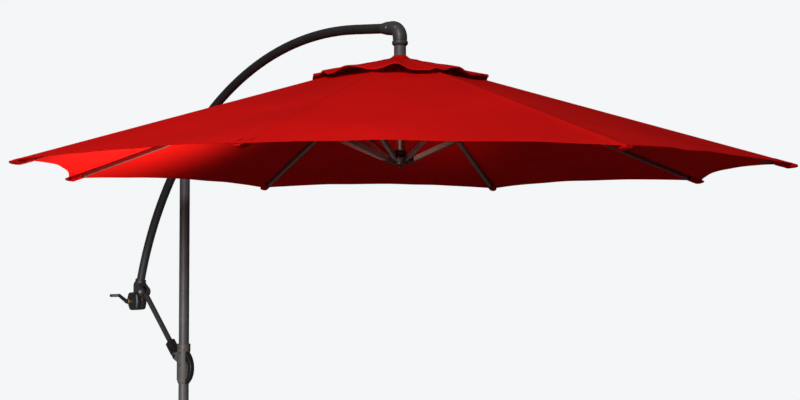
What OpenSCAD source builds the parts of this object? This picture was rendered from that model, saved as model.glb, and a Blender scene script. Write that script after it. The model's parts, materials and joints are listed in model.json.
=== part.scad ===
// Cantilever parasol: a cross base and pole, a curved arm on a pivot, a strut and a sliding
// handle that set the arm's angle, and an eight-ribbed canopy that a crank folds.
// The origin is on the ground at the pole's axis, +X points from the pole to the canopy.

/* [Canopy] */
// Radius from the canopy's axis to a rib tip
canopy_r = 1500; // [1450:5:1520]
// Angle of a rib below level when the canopy is open
rib_slope = 16.9; // [16:0.1:18]
// Height of the canopy's apex, where the slopes of the ribs meet
apex_z = 2413; // [2408:1:2418]
// How far the canopy is turned about its own axis
canopy_turn = 5.28; // [0:0.01:22]
// How far the edge curves in between two rib tips
scallop = 60; // [30:1:80]
// Radius of the opening that the vent flaps cover
vent_hole_r = 150; // [120:1:280]
// Radius of the vent flaps
vent_r = 355; // [320:1:380]

/* [Ribs and stretchers] */
// Width of a rib tube
rib_w = 16; // [14:0.5:16]
// Height of a rib tube
rib_h = 16; // [15:0.5:18]
// Length of a rib from its pivot to the end of its tube
rib_len = 1432; // [1300:1:1440]
// Distance along a rib from its pivot to the stretcher's bracket
bracket_at = 522; // [480:1:540]
// Width of a stretcher tube
stretcher_w = 14; // [12:0.5:14]
// Height of a stretcher tube
stretcher_h = 18; // [14:0.5:18]
// Height of the stretchers' lower pivots on the runner
runner_z = 2003; // [1990:1:2015]

/* [Arm] */
// Distance from the pole's axis to the canopy's axis
hub_x = 1465; // [1460:1:1470]
// Radius of the arm's curve
arm_r = 1493.7; // [1490:0.1:1497]
// Centre of the arm's curve, along X
arm_cx = 1061.2; // [1059:0.1:1063]
// Centre of the arm's curve, height
arm_cz = 1065.3; // [1063:0.1:1067]
// Diameter of the arm tube
arm_d = 40; // [38:0.5:40]
// Height of the pivot that joins the arm to the pole
pivot_z = 2060; // [2055:1:2062]

/* [Pole and slider] */
// Diameter of the pole and of the tube that hangs from the elbow
pole_d = 48; // [48:1:48]
// Height of the pole's top end
pole_top = 2026; // [2020:1:2028]
// Lower end of the slider
slider_z = 1022; // [1000:1:1030]
// Length of the slider
slider_len = 185; // [185:1:190]

/* [Strut] */
// Upper pivot of the strut, along X
strut_top_x = -335; // [-336:0.5:-334]
// Upper pivot of the strut, height
strut_top_z = 1445; // [1444:0.5:1446]
// Lower pivot of the strut, along X
strut_foot_x = -50; // [-52:0.5:-49]
// Lower pivot of the strut, height
strut_foot_z = 1148; // [1146:0.5:1150]
// Diameter of the strut tube
strut_d = 25; // [22:0.5:25]

/* [Crank] */
// Axis of the crank's shaft, along X
crank_x = -412; // [-413:0.5:-411]
// Axis of the crank's shaft, height
crank_z = 1396; // [1395:0.5:1398]
// Length of the crank's arm
crank_len = 73; // [65:1:80]
// How far the crank's arm points above level
crank_lift = 22.7; // [0:0.1:45]

/* [Base] */
// Length of each leg of the cross, end to end
leg_len = 1000; // [980:10:1100]
// Width of the flange under each leg
flange_w = 80; // [70:1:90]
// Width and height of the box tube on each leg
leg_tube = 40; // [40:1:40]
// Side of each ballast slab
slab_side = 460; // [400:10:460]
// Height of the socket that holds the pole
socket_h = 300; // [280:5:340]

/* [Hidden] */

$fn = 64;
frame_grey = "#3b3b3d";
dark_grey = "#232325";
plastic_black = "#1c1c1d";
fabric_red = "#c01a16";
steel = "#b9bcc0";
brass = "#a8733a";
rubber = "#151515";
slab_grey = "#6d6c69";

// Radial gap of a pin in the hole that it turns in
run = 0.05;
// Gap between faces of pieces that move past each other
gap = 0.5;
// Small overlap that makes a cut run past a face
over = 1;

rib_count = 8;
rib_step = 360 / rib_count;
half_step = rib_step / 2;
first_rib = half_step + canopy_turn;

// Canopy fabric
fabric_t = 1.2;
// Gap between the ribs and the fabric over them, which slopes down on both sides
rib_clear = 1.1;
seam_gap = 1.5;
mid_drop = tan(rib_slope) / cos(half_step);
vent_slope = 14.6;
vent_wave = 26;
flap_start = 66;
ring_steps = 6;
turn_steps = 5;

// Ribs
pivot_r = 50;
// Heights of a rib's top and bottom over its pivot
rib_top = 11;
rib_foot = rib_top - rib_h;
rib_pivot_z = apex_z - pivot_r * tan(rib_slope) - (rib_top + fabric_t + rib_clear) / cos(rib_slope);
rib_wall = 1.4;
rib_start = 26;
tongue_w = 8;
tongue_h = 16;
hub_pin_r = 2.5;
lug_t = 2.5;
bracket_drop = 24;
bracket_pin_r = 3;

// Stretchers, in the plane of their rib
bracket_s = pivot_r + bracket_at * cos(rib_slope) - bracket_drop * sin(rib_slope);
bracket_z = rib_pivot_z - bracket_at * sin(rib_slope) - bracket_drop * cos(rib_slope);
stretcher_len = norm([bracket_s - pivot_r, bracket_z - runner_z]);
stretcher_angle = atan2(bracket_z - runner_z, bracket_s - pivot_r);

// Pole and posts
pole_r = pole_d / 2;
pole_wall = 2;
centre_r = 19;
slider_run = 0.06;

// Arm
arm_tube_r = arm_d / 2;
arm_wall = 2;
straight_x = 1200;
arc_start = acos((straight_x - arm_cx) / arm_r);
arc_end = 165.2;
straight_z = arm_cz + arm_r * sin(arc_start);
arm_dip = 90 - arc_start;
straight_len = 232;

// Elbow
bend_r = 44;
elbow_r = 29;
socket_r = 27;
bend_x = hub_x - bend_r;
bend_start_x = bend_x + bend_r * cos(arc_start);
bend_z = straight_z - (bend_start_x - straight_x) * tan(arm_dip) - bend_r * sin(arc_start);
bend_run = (bend_start_x - straight_x) / cos(arm_dip);
elbow_mouth = 168;
post_top = 2482;
post_foot = 2380;
// The two screws on each side of the elbow: places along X and Z, and where the head starts
screw_spots = [[1414, 2533, 27], [1462, 2529, 23]];
screw_r = 2.5;
screw_len = 6.5;
head_r = 4;
head_t = 3;

// Top hub
hub_r = 62;
hub_top = 2391;
hub_foot = 2373;
hub_slot_start = 36;

// Runner
runner_r = 60;
runner_slot_start = 38;
runner_slot_w = 15;

// Pulley and cord
cord_r = 1.5;
pulley_r = 17;
pulley_path = 15.6;
pulley_x = hub_x - pulley_path;
pulley_touch_x = pulley_x + pulley_path * cos(arc_start);
pulley_z = straight_z - (pulley_touch_x - straight_x) * tan(arm_dip)
    - pulley_path * sin(arc_start);

// Saddle that joins the arm to the pole's head
saddle_turn = atan2(-arm_cx, pivot_z - arm_cz);
saddle_reach = arm_r - norm([arm_cx, pivot_z - arm_cz]);
pivot_pin_r = 6;

// Strut
strut_len = norm([strut_foot_x - strut_top_x, strut_top_z - strut_foot_z]);
strut_angle = atan2(strut_top_z - strut_foot_z, strut_foot_x - strut_top_x);
strut_r = strut_d / 2;
strut_pin_r = 5;
eye_half = 10.7;
foot_half = 15.2;
foot_r = 17.6;
lug_half = 16.3;
pin_head_r = 8;
strut_lug_t = 5;
// The strut's lower sleeve is wider below, because the strut swings there as the arm moves
sleeve_above = 18;
sleeve_below = 22;
sleeve_wall = 3.8;
sleeve_len = 70;

// Slider's handle and the lever inside it
lever_x = 37;
lever_z = 1132;
handle_half = 11;

// Crank and its housing
housing_x = -396;
housing_z = 1398;
// The circles that the housing's outline runs around: X and Z from its middle, and radius
housing_spots = [[-30, 26, 16], [-38, 4, 16], [-21, -31, 15], [22, -29, 14], [26, -6, 16],
                 [22, 26, 16]];
housing_half = 31;
housing_wall = 3;
boss_h = 6;
shaft_r = 5;
drum_r = 11;
spool_r = 16;
cord_on_drum = drum_r + cord_r + 0.1;
arm_end_x = arm_cx + arm_r * cos(arc_end);
arm_end_z = arm_cz + arm_r * sin(arc_end);
drum_aim = atan2(arm_end_z - crank_z, arm_end_x - crank_x)
    - acos(cord_on_drum / norm([arm_end_z - crank_z, arm_end_x - crank_x]));
drum_x = crank_x + cord_on_drum * cos(drum_aim);
drum_z = crank_z + cord_on_drum * sin(drum_aim);

// Base
foot_h = 6;
flange_t = 5;
plate_t = 8;
plate_side = 160;
leg_z = foot_h + flange_t;
plate_z = leg_z + leg_tube;
socket_z = plate_z + plate_t;
socket_r_out = 31;
socket_r_in = 28;
knob_z = 250;

// ---- helpers ----

// A cylinder along Y, centred on the XZ plane
module y_rod(r, h) {
    rotate([90, 0, 0]) cylinder(r = r, h = h, center = true);
}

// A cylinder along Y between two Y values
module y_span(r, from, to) {
    translate([0, to, 0]) rotate([90, 0, 0]) cylinder(r = r, h = to - from);
}

// A cylinder along X
module x_rod(r, from, to) {
    translate([from, 0, 0]) rotate([0, 90, 0]) cylinder(r = r, h = to - from);
}

// A flat shape drawn in X and Z, made thick along Y
module plate(from, to) {
    translate([0, to, 0]) rotate([90, 0, 0]) linear_extrude(to - from) children();
}

// A box centred on Y, between two X values and two Z values
module bar(x0, x1, half_y, z0, z1) {
    translate([x0, -half_y, z0]) cube([x1 - x0, 2 * half_y, z1 - z0]);
}

// Places things in the vertical plane of one rib: X is outward, Y turns the rib down
module at_rib(k) {
    translate([hub_x, 0, 0]) rotate([0, 0, first_rib + rib_step * (k - 1)]) children();
}

// Places things along one rib: X runs out along it from its pivot
module along_rib(k) {
    at_rib(k) translate([pivot_r, 0, rib_pivot_z]) rotate([0, rib_slope, 0]) children();
}

// Places things at the start of the arm's straight end, X along it
module along_arm_end() {
    translate([straight_x, 0, straight_z]) rotate([0, arm_dip, 0]) children();
}

// A round bar that follows the arm's curve and its straight end
module arm_bar(r, from, to, run_out) {
    translate([arm_cx, 0, arm_cz]) rotate([90, 0, 0]) rotate([0, 0, from])
        rotate_extrude(angle = to - from, $fn = 360) translate([arm_r, 0]) circle(r, $fn = 48);
    along_arm_end() x_rod(r, 0, run_out);
}

// Places things along the strut: X runs down it from its upper pivot
module along_strut() {
    translate([strut_top_x, 0, strut_top_z]) rotate([0, strut_angle, 0]) children();
}

// ---- base ----

module leg_half() {
    translate([flange_w / 2, -flange_w / 2, foot_h])
        cube([leg_len / 2 - flange_w / 2, flange_w, flange_t]);
    translate([leg_tube / 2, -leg_tube / 2, leg_z]) cube([leg_len / 2 - 65, leg_tube, leg_tube]);
}

module leg_full() {
    translate([-leg_len / 2, -flange_w / 2, foot_h]) cube([leg_len, flange_w, flange_t]);
    translate([-leg_len / 2 + 45, -leg_tube / 2, leg_z]) cube([leg_len - 90, leg_tube, leg_tube]);
}

module leg_hollow(from, to) {
    wall = 3;
    translate([from, -leg_tube / 2 + wall, leg_z + wall])
        cube([to - from, leg_tube - 2 * wall, leg_tube - 2 * wall]);
}

module cross_legs() {
    anchor = leg_len / 2 - 20;
    color(frame_grey) difference() {
        union() {
            leg_full();
            for (a = [90, 270]) rotate([0, 0, a]) leg_half();
        }
        for (a = [0:90:270]) rotate([0, 0, a]) {
            leg_hollow(leg_tube / 2 + 70, leg_len / 2);
            translate([anchor, 0, 0]) cylinder(r = 5.5, h = leg_z + over);
            translate([60, 0, plate_z - 14]) cylinder(r = 5, h = 15);
        }
    }
}

module base_socket() {
    color(frame_grey) difference() {
        union() {
            translate([-plate_side / 2, -plate_side / 2, plate_z])
                cube([plate_side, plate_side, plate_t]);
            translate([0, 0, plate_z]) cylinder(r = socket_r_out, h = socket_h + plate_t);
            for (a = [45:90:315]) rotate([0, 0, a]) plate(-3, 3)
                polygon([[socket_r_out - 2, socket_z - 1], [78, socket_z - 1], [78, socket_z + 8],
                         [socket_r_out + 4, socket_z + 90], [socket_r_out - 2, socket_z + 90]]);
        }
        translate([0, 0, socket_z]) cylinder(r = socket_r_in, h = socket_h + over);
        translate([0, 0, knob_z]) x_rod(5 + run, -socket_r_out - over, -socket_r_in + over);
        for (a = [0:90:270]) rotate([0, 0, a]) translate([60, 0, plate_z - over])
            cylinder(r = 5, h = plate_t + 2 * over);
    }
}

module base_bolts() {
    color(steel) for (a = [0:90:270]) rotate([0, 0, a]) translate([60, 0, plate_z - 14]) {
        cylinder(r = 5, h = 14 + plate_t);
        translate([0, 0, 14 + plate_t]) cylinder(r = 8.5, h = 6, $fn = 6);
    }
}

module base_feet() {
    color(rubber) {
        cylinder(r = 34, h = foot_h);
        for (a = [0:90:270]) rotate([0, 0, a]) translate([leg_len / 2 - 60, 0, 0])
            cylinder(r = 20, h = foot_h);
    }
}

module ballast_slabs() {
    inset = leg_tube / 2 + 2;
    lip = 10;
    color(slab_grey) for (a = [0:90:270]) rotate([0, 0, a]) translate([inset, inset, leg_z])
        difference() {
            cube([slab_side, slab_side, leg_tube]);
            translate([slab_side - 90, slab_side / 2 - 60, leg_tube - lip])
                cube([30, 120, lip + over]);
        }
}

module socket_bushes() {
    color(plastic_black) for (z = [socket_z, socket_z + socket_h - 45])
        translate([0, 0, z]) difference() {
            cylinder(r = socket_r_in, h = 45);
            translate([0, 0, -over]) cylinder(r = pole_r + slider_run, h = 45 + 2 * over);
        }
}

module clamp_knob() {
    knob_r = 19;
    color(plastic_black) translate([0, 0, knob_z]) {
        x_rod(5, -50, -pole_r - gap);
        x_rod(knob_r - 3, -72, -50);
        for (a = [0:60:300]) rotate([a, 0, 0]) translate([0, 0, knob_r - 4]) x_rod(6, -70, -52);
    }
}

// ---- pole ----

module pole_tube() {
    foot = socket_z + 0.3;
    color(frame_grey) translate([0, 0, foot]) difference() {
        cylinder(r = pole_r, h = pole_top - foot);
        translate([0, 0, -over]) cylinder(r = pole_r - pole_wall, h = pole_top - foot + 2 * over);
    }
}

module pole_head() {
    cap_foot = 1990;
    cap_top = pole_top + 8;
    tongue_r = 15.5;
    color(dark_grey) difference() {
        union() {
            translate([0, 0, cap_foot]) cylinder(r = pole_r + 3, h = cap_top - cap_foot);
            bar(-tongue_r, tongue_r, 15.8, cap_top - over, pivot_z);
            translate([0, 0, pivot_z]) y_rod(tongue_r, 31.6);
        }
        translate([0, 0, cap_foot - over]) cylinder(r = pole_r, h = pole_top - cap_foot + over);
        translate([0, 0, pivot_z]) y_rod(pivot_pin_r, 40);
    }
}

module arm_pivot_bolt() {
    color(steel) translate([0, 0, pivot_z]) {
        y_rod(pivot_pin_r, 53);
        for (side = [-1, 1]) translate([0, side * 29, 0]) y_rod(10, 5);
    }
}

// ---- arm ----

module tube_ring(r_out, r_in) {
    difference() {
        circle(r_out, $fn = 48);
        circle(r_in, $fn = 48);
    }
}

// The curved tube and its straight end, which an inner splice joins
module arm_tube() {
    seam = 0.01;
    bore = arm_tube_r - arm_wall;
    color(frame_grey) {
        translate([arm_cx, 0, arm_cz]) rotate([90, 0, 0]) rotate([0, 0, arc_start + seam])
            rotate_extrude(angle = arc_end - arc_start - seam, $fn = 360)
            translate([arm_r, 0]) tube_ring(arm_tube_r, bore);
        along_arm_end() rotate([0, 90, 0]) {
            linear_extrude(straight_len) tube_ring(arm_tube_r, bore);
            translate([0, 0, -25]) linear_extrude(50) tube_ring(bore + 1, bore - 3);
        }
    }
}

// The clamp under the arm, and the fork that holds the pole head's tongue
module arm_saddle() {
    saddle_half = 26;
    fork_half = 16.3;
    arm_sag = 0.17;
    color(dark_grey) translate([0, 0, pivot_z]) rotate([0, saddle_turn, 0]) difference() {
        union() {
            y_rod(20, 2 * saddle_half);
            bar(-19, 19, saddle_half, 0, 30);
            bar(-32, 32, saddle_half, 17, saddle_reach + arm_tube_r + 5);
        }
        translate([0, 0, saddle_reach - arm_sag]) x_rod(arm_tube_r + arm_sag, -40, 40);
        bar(-25, 25, fork_half, -25, 15.9);
        y_rod(pivot_pin_r + run, 60);
    }
}

module elbow_outline() {
    polygon([[0, 2453], [25.5, 2453], [31.5, 2458], [32, 2461], [32, 2471], [30, 2475],
             [27, 2476.5], [27, 2478.5], [elbow_r + 0.3, 2479.5], [elbow_r + 0.3, bend_z + 1],
             [0, bend_z + 1]]);
}

module elbow() {
    color(dark_grey) difference() {
        union() {
            translate([hub_x, 0, 0]) rotate_extrude() elbow_outline();
            translate([bend_x, 0, bend_z]) rotate([90, 0, 0])
                rotate_extrude(angle = arc_start, $fn = 96) translate([bend_r, 0])
                circle(elbow_r, $fn = 64);
            along_arm_end() {
                translate([elbow_mouth, 0, 0]) rotate([0, 90, 0])
                    cylinder(r1 = arm_tube_r + 1.5, r2 = socket_r, h = 24);
                x_rod(socket_r, elbow_mouth + 24, bend_run + 6);
            }
        }
        along_arm_end() {
            x_rod(arm_tube_r, elbow_mouth - over, straight_len);
            x_rod(8, straight_len - over, 255);
        }
        translate([hub_x, 0, 2430]) cylinder(r = pole_r, h = post_top - 2430);
        translate([hub_x, 0, 2430]) cylinder(r = 8, h = pulley_z - 2430);
        translate([pulley_x, 0, pulley_z]) {
            y_rod(pulley_r + 1.5, 11);
            y_rod(3, 70);
        }
        elbow_screws(over);
    }
}

// The elbow's screws, or the holes for them where the heads' pockets run further out
module elbow_screws(further) {
    for (s = screw_spots, side = [-1, 1]) {
        translate([s[0], side * (s[2] - screw_len / 2), s[1]]) y_rod(screw_r, screw_len);
        translate([s[0], side * (s[2] + (head_t + further) / 2), s[1]])
            y_rod(head_r, head_t + further);
    }
}

module arm_fasteners() {
    color(steel) {
        elbow_screws(0);
        translate([pulley_x, 0, pulley_z]) y_rod(3, 52);
        translate([strut_top_x, 0, strut_top_z]) {
            y_rod(strut_pin_r, 46);
            for (side = [-1, 1]) translate([0, side * 25.5, 0]) y_rod(pin_head_r, 5);
        }
    }
}

module hub_post() {
    color(frame_grey) translate([hub_x, 0, post_foot]) difference() {
        cylinder(r = pole_r, h = post_top - post_foot);
        translate([0, 0, -over]) cylinder(r = pole_r - pole_wall, h = post_top - post_foot + 2);
    }
}

module centre_tube() {
    foot = 2000;
    color(frame_grey) translate([hub_x, 0, foot]) difference() {
        cylinder(r = centre_r, h = post_foot - foot);
        translate([0, 0, -over]) cylinder(r = centre_r - 2, h = post_foot - foot + 2 * over);
    }
}

module top_hub() {
    slot_half = tongue_w / 2 + gap;
    color(plastic_black) difference() {
        translate([hub_x, 0, hub_foot]) cylinder(r = hub_r, h = hub_top - hub_foot);
        translate([hub_x, 0, post_foot]) cylinder(r = pole_r, h = hub_top - post_foot + over);
        translate([hub_x, 0, hub_foot - over])
            cylinder(r = centre_r, h = post_foot - hub_foot + 2 * over);
        for (k = [1:rib_count]) at_rib(k) {
            bar(hub_slot_start, hub_r + over, slot_half, hub_foot - over, hub_top + over);
            translate([pivot_r, 0, rib_pivot_z]) y_rod(hub_pin_r, 26);
        }
    }
}

module hub_pins() {
    color(steel) for (k = [1:rib_count]) at_rib(k)
        translate([pivot_r, 0, rib_pivot_z]) y_rod(hub_pin_r, 26);
}

module hub_cap() {
    rim = flap_start - 2;
    inner = pole_r + 0.3;
    drop = tan(vent_slope);
    color(fabric_red) translate([hub_x, 0, apex_z]) rotate_extrude()
        polygon([[inner, -inner * drop - fabric_t], [rim, -rim * drop - fabric_t],
                 [rim, -rim * drop], [inner, -inner * drop]]);
}

module housing_outline(inset) {
    hull() for (s = housing_spots) translate([housing_x + s[0], housing_z + s[1]])
        circle(s[2] - inset, $fn = 32);
}

// One half of the crank's housing, side -1 or 1
module housing_half_shell(side) {
    from = side < 0 ? -housing_half : 0;
    hollow_from = side < 0 ? -housing_half + housing_wall : -over;
    hollow_to = side < 0 ? over : housing_half - housing_wall;
    difference() {
        plate(from, from + housing_half) housing_outline(0);
        plate(hollow_from, hollow_to) housing_outline(housing_wall);
        translate([strut_top_x, 0, strut_top_z]) y_rod(22.3, 60);
        translate([arm_end_x, 0, arm_end_z]) rotate([0, arc_end, 0]) translate([0, 0, -60])
            cylinder(r = 5, h = 120);
    }
}

module crank_housing_left() {
    color(plastic_black) difference() {
        union() {
            housing_half_shell(-1);
            translate([crank_x, 0, crank_z]) y_span(14, -housing_half - boss_h, -housing_half + over);
        }
        translate([crank_x, 0, crank_z]) y_span(shaft_r + run, -40, -10);
    }
}

module crank_housing_right() {
    color(plastic_black) difference() {
        union() {
            housing_half_shell(1);
            translate([crank_x, 0, crank_z]) y_span(9, 14, housing_half - over);
        }
        translate([crank_x, 0, crank_z]) y_span(shaft_r + run, 10, 19.5);
    }
}

module arm_clevis() {
    ring_at = 163.9;
    block_x = arm_cx + arm_r * cos(ring_at);
    block_z = arm_cz + arm_r * sin(ring_at);
    color(dark_grey) difference() {
        union() {
            plate(-22, 22) intersection() {
                union() {
                    translate([block_x, block_z - 8]) circle(25);
                    polygon([[block_x - 25, block_z - 8], [block_x - 25, 1440], [-352, 1440],
                             [-320, 1458], [block_x + 22, block_z + 4]]);
                }
                translate([-450, 1440.2]) square([200, 100]);
            }
            translate([strut_top_x, 0, strut_top_z]) y_rod(21, 44);
            translate([arm_cx, 0, arm_cz]) rotate([90, 0, 0]) rotate([0, 0, ring_at - 0.9])
                rotate_extrude(angle = 0.8, $fn = 360) translate([arm_r, 0]) circle(26, $fn = 48);
        }
        arm_bar(arm_tube_r, arc_start, arc_end, straight_len);
        translate([arm_end_x, 0, arm_end_z]) rotate([0, arc_end, 0]) translate([0, 0, -30])
            cylinder(r = 5, h = 60);
        translate([strut_top_x, 0, strut_top_z]) {
            y_rod(26, 2 * eye_half + 2 * gap);
            y_rod(strut_pin_r, 60);
        }
    }
}

// The cord that the crank winds: drum, arm, pulley and post, down to the runner
module lift_cord() {
    sides = 8;
    arc_rings = 48;
    bend_rings = 8;
    route = concat(
        [[drum_x, drum_z, drum_aim]],
        [for (i = [arc_rings:-1:0]) let (a = arc_start + (arc_end - arc_start) * i / arc_rings)
            [arm_cx + arm_r * cos(a), arm_cz + arm_r * sin(a), a]],
        [for (i = [bend_rings:-1:0]) let (a = arc_start * i / bend_rings)
            [pulley_x + pulley_path * cos(a), pulley_z + pulley_path * sin(a), a]],
        [[hub_x, 2004, 0]]);
    rings = len(route);
    points = [for (p = route, j = [0:sides - 1]) let (out = cord_r * cos(360 * j / sides))
        [p[0] + out * cos(p[2]), cord_r * sin(360 * j / sides), p[1] + out * sin(p[2])]];
    walls = [for (i = [0:rings - 2], j = [0:sides - 1]) let (n = (j + 1) % sides)
        [i * sides + j, (i + 1) * sides + j, (i + 1) * sides + n, i * sides + n]];
    ends = [[for (j = [0:sides - 1]) j],
            [for (j = [sides - 1:-1:0]) (rings - 1) * sides + j]];
    color(steel) polyhedron(points = points, faces = concat(walls, ends), convexity = 8);
}

module cord_pulley() {
    groove = pulley_path - cord_r - 0.1;
    color(plastic_black) translate([pulley_x, 0, pulley_z]) rotate([90, 0, 0]) rotate_extrude()
        polygon([[3 + run, -4.5], [pulley_r, -4.5], [pulley_r, -3.5], [groove, -1.7],
                 [groove, 1.7], [pulley_r, 3.5], [pulley_r, 4.5], [3 + run, 4.5]]);
}

// ---- crank ----

module cord_spool() {
    color(steel) translate([crank_x, 0, crank_z]) difference() {
        union() {
            y_rod(drum_r, 20);
            for (side = [-1, 1]) translate([0, side * 11, 0]) y_rod(spool_r, 2);
        }
        y_rod(shaft_r, 30);
    }
}

module crank_arm() {
    axle_r = 4;
    color(plastic_black) translate([crank_x, 0, crank_z]) {
        y_span(shaft_r, -50, 19);
        y_span(9.5, -56.5, -47);
        rotate([0, 180 + crank_lift, 0]) {
            plate(-56, -47.5) polygon([[3, -8.6], [crank_len, -6.4], [crank_len, 6.4], [3, 8.6]]);
            translate([crank_len, 0, 0]) {
                y_span(7.5, -56.5, -47);
                y_span(axle_r, -100, -56);
            }
        }
    }
}

module crank_bush() {
    color(brass) translate([crank_x, 0, crank_z]) difference() {
        y_span(13, -47, -43);
        y_rod(shaft_r, 120);
    }
}

module crank_grip() {
    color(plastic_black) translate([crank_x, 0, crank_z]) rotate([0, 180 + crank_lift, 0])
        translate([crank_len, 0, 0]) difference() {
            y_span(7.5, -104, -57);
            y_span(4 + run, -101, -50);
        }
}

// ---- strut ----

module strut_eye() {
    color(dark_grey) along_strut() difference() {
        union() {
            y_rod(14, 2 * eye_half);
            bar(0, 30, eye_half, -11, 11);
            x_rod(strut_r - 1.5, 29, 60);
        }
        y_rod(strut_pin_r + run, 40);
    }
}

module strut_tube() {
    color(frame_grey) along_strut() difference() {
        x_rod(strut_r, 30, strut_len - 50);
        x_rod(strut_r - 1.5, 29, strut_len);
    }
}

// The flat sleeve that the strut's lower end slides in
module strut_socket() {
    foot = strut_len - 20;
    mouth = foot - sleeve_len;
    color(plastic_black) along_strut() difference() {
        union() {
            bar(mouth, foot, 15.5, -sleeve_below, sleeve_above);
            bar(foot - 4, strut_len, foot_half, 0.8 - foot_r, foot_r - 0.8);
            translate([strut_len, 0, 0]) y_rod(foot_r, 2 * foot_half);
        }
        bar(mouth - over, foot - 6, 13, -sleeve_below + sleeve_wall, sleeve_above - sleeve_wall);
        translate([strut_len, 0, 0]) y_rod(strut_pin_r + run, 60);
    }
}

// ---- slider ----

module slider_sleeve() {
    collar_z = slider_z + slider_len - 35;
    body_r = 29.5;
    color(dark_grey) difference() {
        union() {
            translate([0, 0, slider_z + 8]) cylinder(r = body_r, h = slider_len - 8);
            translate([0, 0, slider_z]) cylinder(r1 = body_r - 2.5, r2 = body_r, h = 8.01);
            translate([0, 0, collar_z]) cylinder(r = 31, h = 35);
            bar(-40, -20, 12, slider_z + 12, strut_foot_z - 24);
            for (from = [-lug_half - strut_lug_t, lug_half]) plate(from, from + strut_lug_t) union() {
                translate([strut_foot_x, strut_foot_z]) circle(15);
                polygon([[strut_foot_x - 4, strut_foot_z - 14.5], [-20, strut_foot_z - 30],
                         [-20, strut_foot_z + 22], [strut_foot_x + 2, strut_foot_z + 14.9]]);
            }
        }
        translate([0, 0, slider_z - over]) cylinder(r = pole_r + slider_run, h = slider_len + 2);
        translate([strut_foot_x, 0, strut_foot_z]) y_rod(strut_pin_r, 60);
    }
}

// Places the three round-headed screws on the side of the sleeve
module at_sleeve_screws() {
    for (s = [[-72, 1166, 29.5], [-72, 1108, 29.5], [-86, 1188, 31]])
        translate([0, 0, s[1]]) rotate([0, 0, s[0]]) translate([s[2], 0, 0]) children();
}

module slider_fasteners() {
    color(steel) {
        at_sleeve_screws() x_rod(3.5, 0.1, 2);
        translate([strut_foot_x, 0, strut_foot_z]) {
            y_rod(strut_pin_r, 2 * (lug_half + strut_lug_t));
            for (side = [-1, 1]) translate([0, side * (lug_half + strut_lug_t + 2), 0])
                y_rod(pin_head_r, 4);
        }
        translate([lever_x, 0, lever_z]) {
            y_rod(2.5, 22);
            for (side = [-1, 1]) translate([0, side * 12, 0]) y_rod(4.5, 2);
        }
    }
}

module d_handle() {
    root_x = 29.3;
    color(plastic_black) difference() {
        plate(-handle_half, handle_half) difference() {
            translate([-17, 1097]) circle(88, $fn = 128);
            translate([6.3, 1083.5]) circle(44.7, $fn = 96);
            translate([-120, 990]) square([120 + root_x - 3, 220]);
        }
        translate([0, 0, 990]) cylinder(r = 29.7, h = 220);
        bar(20, 47, 5, 1110, 1143);
        translate([lever_x, 0, lever_z]) y_rod(2.5, 30);
    }
}

module lock_lever() {
    color(steel) difference() {
        plate(-4.5, 4.5) {
            translate([lever_x, lever_z]) circle(6);
            polygon([[lever_x - 5, lever_z], [31.6, 1112], [31.2, 1070], [34, 1066], [38, 1070],
                     [37.5, 1110], [lever_x + 6, lever_z]]);
        }
        translate([lever_x, 0, lever_z]) y_rod(2.5 + run, 30);
    }
}

// ---- canopy frame ----

module runner() {
    color(plastic_black) translate([hub_x, 0, 0]) difference() {
        union() {
            translate([0, 0, 1986]) cylinder(r = 30, h = 40);
            translate([0, 0, 2026]) cylinder(r1 = 30, r2 = 23, h = 14);
            translate([0, 0, runner_z - 9]) cylinder(r = runner_r, h = 18);
            translate([0, 0, 1974]) cylinder(r = 5, h = 13);
            translate([0, 0, 1976]) sphere(7);
        }
        translate([0, 0, 1999]) cylinder(r = centre_r + 0.1, h = 60);
        translate([0, 0, 1992]) cylinder(r = 3, h = 20);
        for (k = [1:rib_count]) rotate([0, 0, first_rib + rib_step * (k - 1)])
            bar(runner_slot_start, runner_r + over, runner_slot_w / 2, 1990, 2020);
    }
}

module rib(k) {
    color(frame_grey) along_rib(k) difference() {
        union() {
            bar(rib_start, rib_len, rib_w / 2, rib_foot, rib_top);
            y_rod(tongue_h / 2, tongue_w);
            bar(0, rib_start + over, tongue_w / 2, -tongue_h / 2, tongue_h / 2);
            for (from = [-rib_w / 2 - lug_t, rib_w / 2]) plate(from, from + lug_t) {
                translate([bracket_at, -bracket_drop]) circle(9);
                translate([bracket_at - 16, -bracket_drop + 4]) square([32, bracket_drop + 2]);
                translate([bracket_at - 9, -bracket_drop]) square([18, 8]);
            }
            translate([bracket_at, 0, -bracket_drop]) y_rod(bracket_pin_r, rib_w + 2 * lug_t + 3);
            bar(rib_len, rib_len + 8, rib_w / 2 + 0.8, rib_foot - 0.8, rib_top);
            bar(rib_len, rib_len + 44, 6, rib_top - 7, rib_top - 1);
        }
        bar(rib_start + 24, rib_len - 4, rib_w / 2 - rib_wall, rib_foot + rib_wall,
            rib_top - rib_wall);
        y_rod(hub_pin_r + run, 20);
    }
}

module stretcher(k) {
    end_z = stretcher_h / 2;
    inner = stretcher_len - 22;
    color(frame_grey) at_rib(k) translate([bracket_s, 0, bracket_z])
        rotate([0, 180 - stretcher_angle, 0]) difference() {
            union() {
                y_rod(end_z, stretcher_w);
                bar(0, inner, stretcher_w / 2, -end_z, end_z);
                bar(inner - over, stretcher_len, 4, -7, 7);
                translate([stretcher_len, 0, 0]) {
                    y_rod(7, 8);
                    y_rod(2.5, 13);
                }
            }
            bar(26, inner - 18, stretcher_w / 2 - 1.3, -end_z + 1.3, end_z - 1.3);
            y_rod(bracket_pin_r + run, 30);
        }
}

// ---- canopy fabric ----

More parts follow.
